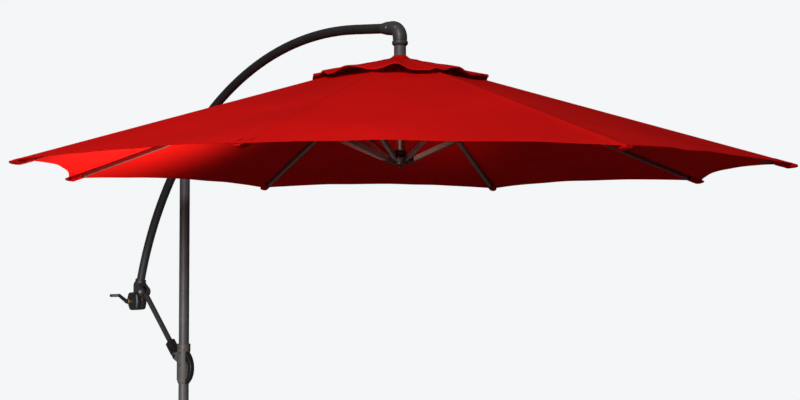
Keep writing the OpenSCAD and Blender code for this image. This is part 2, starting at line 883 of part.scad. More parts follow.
// Height of the fabric's top at a distance from the axis and an angle from the rib
function main_z(rho, a) = apex_z - mid_drop * rho * cos(half_step - abs(a));
function flap_z(rho, a) = apex_z - tan(vent_slope) * rho
    + vent_wave * pow(sin(180 * abs(a) / rib_step), 2)
    * pow((rho - flap_start) / (vent_r - flap_start), 2);

// How far out the scalloped edge lies at an angle from the rib
function edge_r(a) = let (t = tan(half_step - abs(a)) / tan(half_step))
    (canopy_r * cos(half_step) - scallop * (1 - t * t)) / cos(half_step - abs(a));

// One corner of a panel's grid: ring i, turn j, over half a step each way
function turn_at(j, rho) = (j / turn_steps) * (half_step - seam_gap / rho * 180 / PI);
function main_point(i, j, drop) = let (
    f = i / ring_steps,
    far = edge_r(turn_at(j, canopy_r)),
    rho = vent_hole_r + (far - vent_hole_r) * f,
    a = turn_at(j, rho)
) [rho * cos(a), rho * sin(a), main_z(rho, a) - drop];
function flap_point(i, j, drop) = let (
    rho = flap_start + (vent_r - flap_start) * i / ring_steps,
    a = turn_at(j, rho)
) [rho * cos(a), rho * sin(a), flap_z(rho, a) - drop];

cols = 2 * turn_steps + 1;
layer = (ring_steps + 1) * cols;
function spot(i, j, low) = low * layer + i * cols + j + turn_steps;

// The two triangles of a four-cornered patch
function two(a, b, c, d) = [[a, b, c], [a, c, d]];

function sheet_faces() = [
    for (i = [0:ring_steps - 1], j = [-turn_steps:turn_steps - 1]) each concat(
        two(spot(i, j, 0), spot(i, j + 1, 0), spot(i + 1, j + 1, 0), spot(i + 1, j, 0)),
        two(spot(i, j, 1), spot(i + 1, j, 1), spot(i + 1, j + 1, 1), spot(i, j + 1, 1))),
    for (i = [0:ring_steps - 1]) each concat(
        two(spot(i, -turn_steps, 0), spot(i + 1, -turn_steps, 0),
            spot(i + 1, -turn_steps, 1), spot(i, -turn_steps, 1)),
        two(spot(i, turn_steps, 0), spot(i, turn_steps, 1),
            spot(i + 1, turn_steps, 1), spot(i + 1, turn_steps, 0))),
    for (j = [-turn_steps:turn_steps - 1]) each concat(
        two(spot(0, j, 0), spot(0, j, 1), spot(0, j + 1, 1), spot(0, j + 1, 0)),
        two(spot(ring_steps, j, 0), spot(ring_steps, j + 1, 0),
            spot(ring_steps, j + 1, 1), spot(ring_steps, j, 1)))
];

// The part of the fabric that one rib carries: the main sheet and the vent flap above it
module canopy_panel(k) {
    color(fabric_red) at_rib(k) {
        polyhedron(points = [for (low = [0, 1], i = [0:ring_steps], j = [-turn_steps:turn_steps])
                main_point(i, j, low * fabric_t)], faces = sheet_faces(), convexity = 4);
        polyhedron(points = [for (low = [0, 1], i = [0:ring_steps], j = [-turn_steps:turn_steps])
                flap_point(i, j, low * fabric_t)], faces = sheet_faces(), convexity = 4);
    }
}

cross_legs();
base_socket();
base_bolts();
base_feet();
ballast_slabs();
socket_bushes();
clamp_knob();
pole_tube();
pole_head();
arm_pivot_bolt();
arm_tube();
arm_saddle();
elbow();
arm_fasteners();
hub_post();
centre_tube();
top_hub();
hub_pins();
hub_cap();
crank_housing_left();
crank_housing_right();
arm_clevis();
lift_cord();
cord_pulley();
cord_spool();
crank_arm();
crank_bush();
crank_grip();
strut_tube();
strut_eye();
strut_socket();
slider_sleeve();
slider_fasteners();
d_handle();
lock_lever();
runner();
for (k = [1:rib_count]) {
    rib(k);
    stretcher(k);
    canopy_panel(k);
}
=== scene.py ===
"""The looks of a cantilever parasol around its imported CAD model.

Everything is in metres in the frame's axes: the pole's axis is Z, and +X runs from the pole to
the canopy.
"""

import json
import math

import bmesh
import bpy
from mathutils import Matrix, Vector, geometry, noise


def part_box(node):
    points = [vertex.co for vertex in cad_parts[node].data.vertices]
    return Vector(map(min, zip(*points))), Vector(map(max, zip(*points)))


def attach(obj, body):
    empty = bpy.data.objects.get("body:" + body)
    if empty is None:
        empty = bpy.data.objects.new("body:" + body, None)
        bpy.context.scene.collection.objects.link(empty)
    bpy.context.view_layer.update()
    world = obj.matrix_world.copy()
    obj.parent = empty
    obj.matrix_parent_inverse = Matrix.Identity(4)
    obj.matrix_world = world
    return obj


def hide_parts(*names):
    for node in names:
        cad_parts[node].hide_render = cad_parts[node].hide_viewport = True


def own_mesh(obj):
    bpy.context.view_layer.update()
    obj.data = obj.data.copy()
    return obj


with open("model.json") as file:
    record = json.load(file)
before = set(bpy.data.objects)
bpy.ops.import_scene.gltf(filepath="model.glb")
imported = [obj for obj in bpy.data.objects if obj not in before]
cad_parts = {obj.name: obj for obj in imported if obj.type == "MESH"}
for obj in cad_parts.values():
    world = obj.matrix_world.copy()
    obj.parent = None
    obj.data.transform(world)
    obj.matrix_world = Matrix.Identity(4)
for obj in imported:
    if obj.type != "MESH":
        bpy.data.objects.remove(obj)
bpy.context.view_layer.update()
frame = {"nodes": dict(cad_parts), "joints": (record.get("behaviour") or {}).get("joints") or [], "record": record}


# ---- sizes and places, from the frame ----


def middle(node):
    low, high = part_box(node)
    return (low + high) / 2


JOINTS = {joint["name"]: joint for joint in frame["joints"]}
RIBS = 8
STEP = math.radians(45)
HALF = STEP / 2
HUB_X = middle("centre_tube").x
PIVOT = Vector(JOINTS["canopy_fold"]["pos_m"])
FIRST_RIB = math.atan2(PIVOT.y, PIVOT.x - HUB_X)

FABRIC = 0.0012
RIB_SLOPE = math.radians(16.9)
APEX_Z = 2.413
CANOPY_R = 1.5
SCALLOP = 0.06
VENT_HOLE = 0.15
VENT_R = 0.355
FLAP_START = 0.045
FLAP_SLOPE = math.radians(14.6)
MID_DROP = math.tan(RIB_SLOPE) / math.cos(HALF)
HEM = 0.022
SEAM = 0.009
POCKET = 0.085

# The arm's curve in the XZ plane, the straight end after it, and the bend above the hub
ARM_CENTRE = Vector((1.0612, 0, 1.0653))
ARM_R = 1.4937
STRAIGHT_X = 1.2
ARM_DIP = math.asin((STRAIGHT_X - ARM_CENTRE.x) / ARM_R)
STRAIGHT = Vector((STRAIGHT_X, 0, ARM_CENTRE.z + ARM_R * math.cos(ARM_DIP)))
ALONG_END = Vector((math.cos(ARM_DIP), 0, -math.sin(ARM_DIP)))
BEND_R = 0.044
BEND_X = HUB_X - BEND_R
BEND_RUN = (BEND_X + BEND_R * math.sin(ARM_DIP) - STRAIGHT_X) / math.cos(ARM_DIP)
BEND_Z = (STRAIGHT + ALONG_END * BEND_RUN).z - BEND_R * math.cos(ARM_DIP)

CRANK = Vector(JOINTS["crank_turn"]["pos_m"])
GRIP = Vector(JOINTS["crank_grip_spin"]["pos_m"])

# The crank's housing: its centre in the XZ plane, half its depth, and the points on its outline
HOUSING_X = -0.396
HOUSING_Z = 1.398
HOUSING_HALF = 0.031
HOUSING_EDGE = 0.013
HOUSING_POINTS = 96

# Where the boss, the washer, the disc and the grip start along the crank's axis
BOSS_Y = -0.0308
WASHER_Y = -0.0372
DISC_Y = -0.0428
GRIP_Y = -0.0570
GRIP_LENGTH = 0.0412

# The strength of the sky that lights the object
SKY = 0.12


# ---- materials ----


class Nodes:
    """A material being built, with short ways to add and link its nodes."""

    def __init__(self, name):
        self.material = bpy.data.materials.new(name)
        self.material.use_nodes = True
        self.tree = self.material.node_tree
        self.shader = self.tree.nodes["Principled BSDF"]
        self.output = self.tree.nodes["Material Output"]

    def add(self, kind, **settings):
        node = self.tree.nodes.new("ShaderNode" + kind)
        for key, value in settings.items():
            setattr(node, key, value)
        return node

    def link(self, source, target):
        self.tree.links.new(source, target)

    def set(self, **values):
        for key, value in values.items():
            self.shader.inputs[key.replace("_", " ")].default_value = value

    def place(self, uv=False):
        return self.add("TexCoord").outputs["UV" if uv else "Object"]

    def noise(self, place, scale, detail=3.0, roughness=0.5):
        node = self.add("TexNoise")
        node.inputs["Scale"].default_value = scale
        node.inputs["Detail"].default_value = detail
        node.inputs["Roughness"].default_value = roughness
        self.link(place, node.inputs["Vector"])
        return node.outputs["Fac"]

    def ramp(self, factor, stops):
        node = self.add("ValToRGB")
        points = node.color_ramp.elements
        while len(points) < len(stops):
            points.new(0.5)
        for point, (where, colour) in zip(points, stops):
            point.position = where
            point.color = (*colour, 1)
        self.link(factor, node.inputs["Fac"])
        return node.outputs["Color"]

    def span(self, value, low, high, from_low=0.0, from_high=1.0):
        node = self.add("MapRange")
        for key, number in (
            ("From Min", from_low),
            ("From Max", from_high),
            ("To Min", low),
            ("To Max", high),
        ):
            node.inputs[key].default_value = number
        self.link(value, node.inputs["Value"])
        return node.outputs["Result"]

    def math(self, operation, first, second=None):
        node = self.add("Math", operation=operation)
        for socket, value in zip(node.inputs, (first, second)):
            if isinstance(value, (int, float)):
                socket.default_value = value
            elif value is not None:
                self.link(value, socket)
        return node.outputs["Value"]

    def bump(self, height, distance, strength=1.0, normal=None):
        node = self.add("Bump")
        node.inputs["Distance"].default_value = distance
        node.inputs["Strength"].default_value = strength
        self.link(height, node.inputs["Height"])
        if normal is not None:
            self.link(normal, node.inputs["Normal"])
        return node.outputs["Normal"]


def shades(colour, spread):
    """Two colours, a little darker and a little lighter than the one given."""
    return [tuple(c * (1 - spread) for c in colour), tuple(c * (1 + spread) for c in colour)]


def coated_metal(name, colour, roughness=0.42):
    """Powder coat: a fine orange-peel bump, faint blotches and slightly uneven gloss."""
    m = Nodes(name)
    place = m.place()
    dark, light = shades(colour, 0.14)
    m.link(m.ramp(m.noise(place, 9), [(0.3, dark), (0.7, light)]), m.shader.inputs["Base Color"])
    gloss = m.span(m.noise(place, 60, 5), roughness - 0.06, roughness + 0.08)
    m.link(gloss, m.shader.inputs["Roughness"])
    peel = m.bump(m.noise(place, 900, 2), 0.0002, 0.5)
    m.link(peel, m.shader.inputs["Normal"])
    m.set(Metallic=0.0, Specular_IOR_Level=0.45)
    return m.material


def moulded_plastic(name, colour, roughness=0.5, grain=700, depth=0.0002):
    """Moulded plastic with a fine spark-eroded grain, paler where hands and weather wear it."""
    m = Nodes(name)
    place = m.place()
    dark, light = shades(colour, 0.22)
    m.link(m.ramp(m.noise(place, 14, 6), [(0.35, dark), (0.75, light)]),
           m.shader.inputs["Base Color"])
    gloss = m.span(m.noise(place, 40, 4), roughness - 0.08, roughness + 0.1)
    m.link(gloss, m.shader.inputs["Roughness"])
    m.link(m.bump(m.noise(place, grain, 3, 0.6), depth, 0.5), m.shader.inputs["Normal"])
    return m.material


def bare_metal(name, colour, roughness=0.3):
    """Plated or turned metal with fine uneven brushing."""
    m = Nodes(name)
    place = m.place()
    dark, light = shades(colour, 0.18)
    m.link(m.ramp(m.noise(place, 120, 4), [(0.3, dark), (0.7, light)]),
           m.shader.inputs["Base Color"])
    gloss = m.span(m.noise(place, 260, 3), roughness - 0.1, roughness + 0.15)
    m.link(gloss, m.shader.inputs["Roughness"])
    m.link(m.bump(m.noise(place, 1500, 2), 0.0001, 0.3), m.shader.inputs["Normal"])
    m.set(Metallic=1.0)
    return m.material


def stitches(m):
    """1 on the threads beside a rib's seam and along the hem, by the distances in the trim map."""
    trim = m.add("UVMap", uv_map="trim")
    split = m.add("SeparateXYZ")
    m.link(trim.outputs["UV"], split.inputs["Vector"])
    from_rib = m.math("ABSOLUTE", split.outputs["X"])
    from_edge = split.outputs["Y"]
    rows = []
    for off, row_at, along in ((from_rib, 0.0062, from_edge), (from_edge, 0.0175, from_rib)):
        near = m.math("LESS_THAN", m.math("ABSOLUTE", m.math("SUBTRACT", off, row_at)), 0.0005)
        dash = m.math("LESS_THAN", m.math("FRACT", m.math("DIVIDE", along, 0.0045)), 0.72)
        rows.append(m.math("MULTIPLY", near, dash))
    return m.math("MAXIMUM", rows[0], rows[1])


def woven(name, colour, through, pitch=0.0011):
    """Plain-woven polyester: crossing yarns, slubs, faint clouding, and light that comes through.

    The first UV map holds metres, U across the cloth and V along it. The map called trim holds
    the distance from the rib and from the hem's edge.
    """
    m = Nodes(name)
    place = m.place(uv=True)
    split = m.add("SeparateXYZ")
    m.link(place, split.inputs["Vector"])
    turns = 2 * math.pi / pitch
    across = m.math("SINE", m.math("MULTIPLY", split.outputs["X"], turns))
    along = m.math("SINE", m.math("MULTIPLY", split.outputs["Y"], turns))
    weave = m.math("MULTIPLY", across, along)
    slubs = []
    for scale in ((900, 25, 1), (25, 900, 1)):
        stretch = m.add("Mapping")
        stretch.inputs["Scale"].default_value = scale
        m.link(place, stretch.inputs["Vector"])
        slubs.append(m.noise(stretch.outputs["Vector"], 1.0, 2))
    yarn = m.math("MULTIPLY", m.math("ADD", slubs[0], slubs[1]), 0.5)
    cloud = m.noise(m.place(), 2.6, 4)
    tone = m.math("ADD", m.math("MULTIPLY", yarn, 0.5), m.math("MULTIPLY", cloud, 0.5))
    dark, light = shades(colour, 0.13)
    cloth = m.ramp(tone, [(0.36, dark), (0.64, light)])
    thread = m.add("Mix", data_type="RGBA")
    m.link(stitches(m), thread.inputs["Factor"])
    m.link(cloth, thread.inputs[6])
    thread.inputs[7].default_value = (*shades(colour, 0.35)[0], 1)
    m.link(thread.outputs[2], m.shader.inputs["Base Color"])
    m.set(Roughness=0.85, Sheen_Weight=0.0, Specular_IOR_Level=0.04)
    relief = m.math("ADD", m.math("MULTIPLY", weave, 0.5), yarn)
    normal = m.bump(relief, 0.00006, 0.8)
    creases = m.bump(m.noise(m.place(), 7, 5, 0.62), 0.004, 0.35, normal)
    m.link(creases, m.shader.inputs["Normal"])
    glow = m.add("BsdfTranslucent")
    m.link(m.ramp(tone, [(0.36, shades(through, 0.1)[0]), (0.64, through)]), glow.inputs["Color"])
    mix = m.add("MixShader")
    mix.inputs["Fac"].default_value = 0.16
    m.link(m.shader.outputs["BSDF"], mix.inputs[1])
    m.link(glow.outputs["BSDF"], mix.inputs[2])
    m.link(mix.outputs["Shader"], m.output.inputs["Surface"])
    return m.material


def cast_slab(name):
    """Ballast slab: mottled grey with a coarse moulded grain."""
    m = Nodes(name)
    place = m.place()
    speckle = m.noise(place, 260, 6, 0.7)
    stops = [(0.3, (0.07, 0.07, 0.068)), (0.52, (0.15, 0.148, 0.14)), (0.7, (0.24, 0.236, 0.225))]
    m.link(m.ramp(speckle, stops), m.shader.inputs["Base Color"])
    m.link(m.span(m.noise(place, 30), 0.7, 0.92), m.shader.inputs["Roughness"])
    m.link(m.bump(m.noise(place, 420, 5, 0.7), 0.0008, 0.6), m.shader.inputs["Normal"])
    return m.material


def braided(name, colour):
    """Cord with fine darker flecks between its strands."""
    m = Nodes(name)
    place = m.place()
    m.link(m.ramp(m.noise(place, 600, 2), [(0.3, shades(colour, 0.4)[0]), (0.7, colour)]),
           m.shader.inputs["Base Color"])
    m.link(m.bump(m.noise(place, 1400, 2), 0.0004), m.shader.inputs["Normal"])
    m.set(Roughness=0.8)
    return m.material


MATERIALS = {
    "frame_paint": coated_metal("frame_coat", (0.075, 0.077, 0.082), 0.5),
    "arm_paint": coated_metal("arm_coat", (0.024, 0.024, 0.025), 0.42),
    "dark_fitting": coated_metal("cast_coat", (0.046, 0.047, 0.051), 0.45),
    "plastic": moulded_plastic("black_plastic", (0.014, 0.014, 0.015), 0.42),
    "fabric": woven("red_canopy_cloth", (0.66, 0.0055, 0.0045), (0.95, 0.03, 0.006)),
    "steel": bare_metal("plated_steel", (0.40, 0.395, 0.385), 0.42),
    "brass": bare_metal("turned_brass", (0.72, 0.38, 0.13), 0.5),
    "rubber": moulded_plastic("black_rubber", (0.018, 0.018, 0.018), 0.8, 500, 0.0004),
    "slab": cast_slab("slab_grain"),
    "cord": braided("braided_cord", (0.09, 0.09, 0.09)),
}
GRIP_GREY = moulded_plastic("grip_plastic", (0.11, 0.11, 0.115), 0.45)
SLIDER_GREY = coated_metal("slider_coat", (0.092, 0.089, 0.083), 0.5)
ZINC = bare_metal("zinc_screw", (0.80, 0.76, 0.68), 0.6)
RIB_METAL = bare_metal("rib_tube", (0.30, 0.285, 0.28), 0.45)
DULL_STEEL = bare_metal("blackened_steel", (0.11, 0.115, 0.125), 0.38)
WASHER_WHITE = moulded_plastic("white_nylon", (0.62, 0.61, 0.58), 0.4, 900, 0.0001)


# ---- mesh helpers ----


def piece(name, points, faces, body, slot, stands_for=(), material=None, uv=None, trim=None,
          sharp=35):
    """A mesh made from points and faces, riding on a body, with its slot's material."""
    mesh = bpy.data.meshes.new(name)
    mesh.from_pydata([tuple(p) for p in points], [], faces)
    mesh.validate()
    for face in mesh.polygons:
        face.use_smooth = True
    mesh.set_sharp_from_angle(angle=math.radians(sharp))
    for layer_name, values in (("metres", uv), ("trim", trim)):
        if values is not None:
            layer = mesh.uv_layers.new(name=layer_name)
            for loop in mesh.loops:
                layer.data[loop.index].uv = values[loop.vertex_index]
    mesh.materials.append(material or MATERIALS[slot])
    made = bpy.data.objects.new(name, mesh)
    bpy.context.scene.collection.objects.link(made)
    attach(made, body)
    if stands_for:
        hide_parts(*stands_for)
    return made


def ring_faces(rings, sides, closed=False):
    """Quads between rings of points, and flat ends unless the rings close on themselves."""
    faces = []
    for i in range(rings if closed else rings - 1):
        for j in range(sides):
            n = (j + 1) % sides
            here, there = i * sides, ((i + 1) % rings) * sides
            faces.append((here + j, here + n, there + n, there + j))
    if not closed:
        faces.append(tuple(range(sides - 1, -1, -1)))
        faces.append(tuple((rings - 1) * sides + j for j in range(sides)))
    return faces


def sweep(stations, sides=48):
    """Rings round a path in the XZ plane: each station is (x, z, angle of the path, radius)."""
    points = []
    for x, z, angle, radius in stations:
        up = Vector((-math.sin(angle), 0, math.cos(angle)))
        for j in range(sides):
            turn = 2 * math.pi * j / sides
            points.append(Vector((x, 0, z)) + up * radius * math.cos(turn)
                          + Vector((0, radius * math.sin(turn), 0)))
    return points, ring_faces(len(stations), sides)


def lathe(profile, centre, along, sides=48, closed=False):
    """Rings round an axis: the profile is a list of (distance along, radius)."""
    along = Vector(along).normalized()
    side = along.orthogonal().normalized()
    other = along.cross(side)
    points = []
    for distance, radius in profile:
        for j in range(sides):
            turn = 2 * math.pi * j / sides
            points.append(Vector(centre) + along * distance
                          + (side * math.cos(turn) + other * math.sin(turn)) * radius)
    return points, ring_faces(len(profile), sides, closed)


def rounded(start, end, radius, edge, steps=5):
    """A profile from start to end whose two corners are rounded."""
    turns = [math.pi / 2 * i / steps for i in range(steps + 1)]
    near = [(start + edge * (1 - math.sin(t)), radius - edge * (1 - math.cos(t)))
            for t in reversed(turns)]
    far = [(end - edge * (1 - math.sin(t)), radius - edge * (1 - math.cos(t))) for t in turns]
    return near + far


# ---- camera, floor and light ----


def aim(obj, target):
    obj.rotation_mode = "QUATERNION"
    obj.rotation_quaternion = (Vector(target) - obj.location).to_track_quat("-Z", "Y")


def make_camera():
    camera = bpy.data.objects.new("camera", bpy.data.cameras.new("camera"))
    bpy.context.scene.collection.objects.link(camera)
    camera.location = (5.313, -3.716, 1.645)
    heading, rise = math.radians(136), math.radians(2.14)
    level = math.cos(rise)
    aim(camera, camera.location + Vector(
        (level * math.cos(heading), level * math.sin(heading), math.sin(rise))))
    camera.data.lens = 61.0
    camera.data.sensor_width = 36
    camera.data.clip_end = 200
    bpy.context.scene.camera = camera
    return camera


def area_light(name, place, target, size, power, colour):
    data = bpy.data.lights.new(name, "AREA")
    data.shape = "SQUARE"
    data.size = size
    data.energy = power
    data.color = colour
    light = bpy.data.objects.new(name, data)
    bpy.context.scene.collection.objects.link(light)
    light.location = place
    light.visible_camera = False
    aim(light, target)


def spot_light(name, place, target, half_angle, power, colour, soft=0.25):
    data = bpy.data.lights.new(name, "SPOT")
    data.spot_size = math.radians(2 * half_angle)
    data.spot_blend = 1.0
    data.shadow_soft_size = soft
    data.energy = power
    data.color = colour
    light = bpy.data.objects.new(name, data)
    bpy.context.scene.collection.objects.link(light)
    light.location = place
    aim(light, target)


def make_floor(radius=4.5, sides=96):
    """A plain round floor under the base."""
    mesh = bpy.data.meshes.new("floor")
    turns = [2 * math.pi * j / sides for j in range(sides)]
    mesh.from_pydata([(radius * math.cos(t), radius * math.sin(t), 0) for t in turns], [],
                     [tuple(range(sides))])
    floor = bpy.data.objects.new("floor", mesh)
    bpy.context.scene.collection.objects.link(floor)
    plain = Nodes("pale_floor")
    plain.set(Base_Color=(0.34, 0.345, 0.35, 1), Roughness=0.9, Specular_IOR_Level=0.1)
    mesh.materials.append(plain.material)


def make_backdrop():
    """A near-white surround to look at, and a much weaker sky that lights the object from above."""
    world = bpy.data.worlds.new("studio")
    bpy.context.scene.world = world
    world.use_nodes = True
    tree = world.node_tree
    seen = tree.nodes["Background"]
    seen.inputs["Color"].default_value = (0.905, 0.922, 0.930, 1)
    sky = tree.nodes.new("ShaderNodeBackground")
    sky.inputs["Strength"].default_value = SKY
    height = tree.nodes.new("ShaderNodeSeparateXYZ")
    direction = tree.nodes.new("ShaderNodeTexCoord").outputs["Generated"]
    tree.links.new(direction, height.inputs["Vector"])
    fade = tree.nodes.new("ShaderNodeValToRGB")
    fade.color_ramp.elements[0].position = 0.0
    fade.color_ramp.elements[0].color = (0.10, 0.10, 0.11, 1)
    fade.color_ramp.elements[1].position = 0.55
    fade.color_ramp.elements[1].color = (1, 1, 1, 1)
    tree.links.new(height.outputs["Z"], fade.inputs["Fac"])
    tree.links.new(fade.outputs["Color"], sky.inputs["Color"])
    path = tree.nodes.new("ShaderNodeLightPath")
    mix = tree.nodes.new("ShaderNodeMixShader")
    tree.links.new(path.outputs["Is Camera Ray"], mix.inputs["Fac"])
    tree.links.new(sky.outputs["Background"], mix.inputs[1])
    tree.links.new(seen.outputs["Background"], mix.inputs[2])
    tree.links.new(mix.outputs["Shader"], tree.nodes["World Output"].inputs["Surface"])


def make_lights(camera):
    """A soft key from the front left, and four spots on what it leaves too dark."""
    hub = Vector((HUB_X, 0, 2.1))
    toward = camera.location - hub
    toward.z = 0
    toward.normalize()
    left = Vector((toward.y, -toward.x, 0))
    up = Vector((0, 0, 1))
    area_light("key", hub + toward * 5.0 + left * 1.5 + up * 2.6, hub, 1.5, 255, (1.0, 0.98, 0.95))
    spot_light("left_lining", hub + left * 0.25 - toward * 0.35 - up * 0.95,
               hub + left * 1.4 + toward * 0.15 - up * 0.05, 40, 190, (1.0, 1.0, 0.80))
    spot_light("hub_metal", hub + toward * 2.2 + left * 0.5 - up * 0.9, hub - up * 0.1, 7, 110,
               (1.0, 0.50, 0.38), 0.1)
    mast_side = hub + toward * 4.0 + left * 2.4 - up * 0.9
    spot_light("mast", mast_side, Vector((0, 0, 0.75)), 13, 1050, (1.0, 0.99, 0.98))
    spot_light("crank", mast_side, CRANK, 4, 700, (1.0, 0.98, 0.94), 0.1)


# ---- canopy ----


def rib_angle(k):
    return FIRST_RIB + STEP * (k - 1)


def in_plan(k, rho, angle, z):
    turn = rib_angle(k) + angle
    return Vector((HUB_X + rho * math.cos(turn), rho * math.sin(turn), z))


def edge_radius(angle):
    """Where the scalloped edge lies at an angle from the rib."""
    t = math.tan(HALF - abs(angle)) / math.tan(HALF)
    return (CANOPY_R * math.cos(HALF) - SCALLOP * (1 - t * t)) / math.cos(HALF - abs(angle))


def gore_of(k, angle):
    """Which gore a point is in, and how far it is across it, from 0 at one rib to 1 at the next."""
    share = angle / STEP
    return (k, share) if angle >= 0 else ((k - 2) % RIBS + 1, 1 + share)


def fabric_height(k, rho, angle):
    """The taut gores between the ribs, slightly hollow, with small tucks from the rib tips."""
    z = APEX_Z - MID_DROP * rho * math.cos(HALF - abs(angle))
    gore, share = gore_of(k, angle)
    across = math.sin(math.pi * share)
    out = rho / CANOPY_R
    z -= 0.007 * across * math.sin(math.pi * min(out, 1.0))
    near_edge = max(0.0, (out - 0.55) / 0.45)
    wave = noise.noise(Vector((gore * 3.7, share * 5.5, 1.3)))
    z += 0.007 * across * near_edge ** 2 * wave
    tuck = math.sin(share * math.pi * 13 + gore) * math.exp(-9 * min(share, 1 - share))
    z += 0.0022 * tuck * across * near_edge ** 1.5
    return z


def sheet_mesh(name, top, rows, columns, uv, trim, body, stands_for=()):
    """A cloth with two faces and a rim, from a grid of top points, row by row."""
    normals = [Vector((0, 0, 1))] * len(top)
    for i in range(rows):
        for j in range(columns):
            here = i * columns + j
            a = top[min(i + 1, rows - 1) * columns + j] - top[max(i - 1, 0) * columns + j]
            b = top[i * columns + min(j + 1, columns - 1)] - top[i * columns + max(j - 1, 0)]
            n = a.cross(b).normalized()
            normals[here] = n if n.z > 0 else -n
    low = [p - n * FABRIC for p, n in zip(top, normals)]
    count = len(top)
    faces = []
    for i in range(rows - 1):
        for j in range(columns - 1):
            a, b = i * columns + j, i * columns + j + 1
            c, d = (i + 1) * columns + j + 1, (i + 1) * columns + j
            faces.append((a, d, c, b))
            faces.append((count + a, count + b, count + c, count + d))
    rim = [j for j in range(columns)]
    rim += [i * columns + columns - 1 for i in range(1, rows)]
    rim += [(rows - 1) * columns + j for j in range(columns - 2, -1, -1)]
    rim += [i * columns for i in range(rows - 2, 0, -1)]
    for a, b in zip(rim, rim[1:] + rim[:1]):
        faces.append((a, b, count + b, count + a))
    return piece(name, top + low, faces, body, "fabric", stands_for, uv=uv * 2, trim=trim * 2,
                 sharp=40)


def column_angles(rho, outer):
    """Angles across half a panel: fixed distances beside the rib's seam, then even shares."""
    beside = [math.asin(d / rho) for d in (0, 0.003, SEAM - 0.001, SEAM)]
    return beside + [beside[-1] + (HALF - beside[-1]) * i / outer for i in range(1, outer + 1)]


def both_sides(angles):
    return [-a for a in reversed(angles[1:])] + angles


def canopy_panel(k):
    """The part of the main cloth that one rib carries, with the rib's flat seam and the hem."""
    outer = 16
    steps = 34
    hem = 0.0009
    seam = 0.0007
    top, uv, trim = [], [], []
    # each row: its share of the way out, how far it stands in from the edge, how far it is raised
    lines = [(i / (steps - 1), HEM, 0.0) for i in range(steps)]
    lines += [(1.0, HEM - 0.001, hem), (1.0, 0.0012, hem), (1.0, 0.0, -0.0008)]
    for share, inset, raised in lines:
        about = VENT_HOLE + (CANOPY_R - inset - VENT_HOLE) * share
        for angle in both_sides(column_angles(about, outer)):
            edge = edge_radius(angle)
            rho = VENT_HOLE + (edge - inset - VENT_HOLE) * share
            z = fabric_height(k, rho, angle) + raised
            if rho * math.sin(abs(angle)) < SEAM - 0.0005:
                z += seam
            top.append(in_plan(k, rho, angle, z))
            uv.append((rho * math.sin(angle), rho))
            trim.append((rho * math.sin(angle), edge - rho))
    columns = 2 * (outer + 3) + 1
    made = sheet_mesh("canopy_%d" % k, top, len(lines), columns, uv, trim, "rib_%d" % k,
                      ["canopy_panel_%d" % k])
    flatten(made)


# Where the flap's hem lifts off the sheet between two ribs: place across, half width, height
CRESTS = {
    1: ((0.30, 0.18, 0.020), (0.80, 0.10, 0.009)),
    2: ((0.45, 0.22, 0.026), (0.86, 0.09, 0.010)),
    3: ((0.30, 0.14, 0.018), (0.72, 0.15, 0.022)),
    4: ((0.52, 0.24, 0.028),),
    5: ((0.28, 0.15, 0.020), (0.74, 0.12, 0.015)),
    6: ((0.15, 0.07, 0.014), (0.66, 0.24, 0.023)),
    7: ((0.34, 0.16, 0.024), (0.93, 0.08, 0.010)),
    8: ((0.26, 0.20, 0.020), (0.84, 0.06, 0.006)),
}


def flap_height(k, rho, angle):
    """The loose vent flaps lie close over the ribs and lift between them, each in its own way."""
    gore, share = gore_of(k, angle)
    out = (rho - FLAP_START) / (VENT_R - FLAP_START)
    across = math.sin(math.pi * share)
    lift = sum(height * math.exp(-((share - place) / half) ** 2)
               for place, half, height in CRESTS[gore])
    lift *= min(1.0, 9 * share, 9 * (1 - share))
    crumple = 0.006 * across * noise.noise(Vector((gore * 4.1, share * 5, out * 3)))
    base = APEX_Z - math.tan(FLAP_SLOPE) * rho * math.cos(HALF - abs(angle)) / math.cos(HALF)
    return base + lift * out ** 1.5 + crumple * min(1.0, 3 * out) + 0.003


def vent_flap(k):
    """The part of the loose upper cloth that one rib carries, with its rim turned down."""
    outer = 14
    steps = 20
    top, uv, trim = [], [], []
    for i in range(steps + 2):
        share = min(i, steps) / steps
        about = FLAP_START + (VENT_R - FLAP_START) * share
        for j in range(-outer, outer + 1):
            angle = HALF * j / outer
            gore, across = gore_of(k, angle)
            rim = VENT_R - 0.010 * math.sin(math.pi * across) ** 2
            rho = FLAP_START + (rim - FLAP_START) * share
            z = flap_height(k, rho, angle)
            if i == steps + 1:
                rho += 0.001
                z -= 0.005
            top.append(in_plan(k, rho, angle, z))
            uv.append((rho * math.sin(angle), rho))
            trim.append((rho * math.sin(angle), rim - rho))
    made = sheet_mesh("vent_flap_%d" % k, top, steps + 2, 2 * outer + 1, uv, trim, "rib_%d" % k)
    flatten(made)


def flatten(made):
    """Gives the cloth that one rib carries its own copy of its mesh."""
    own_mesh(made)


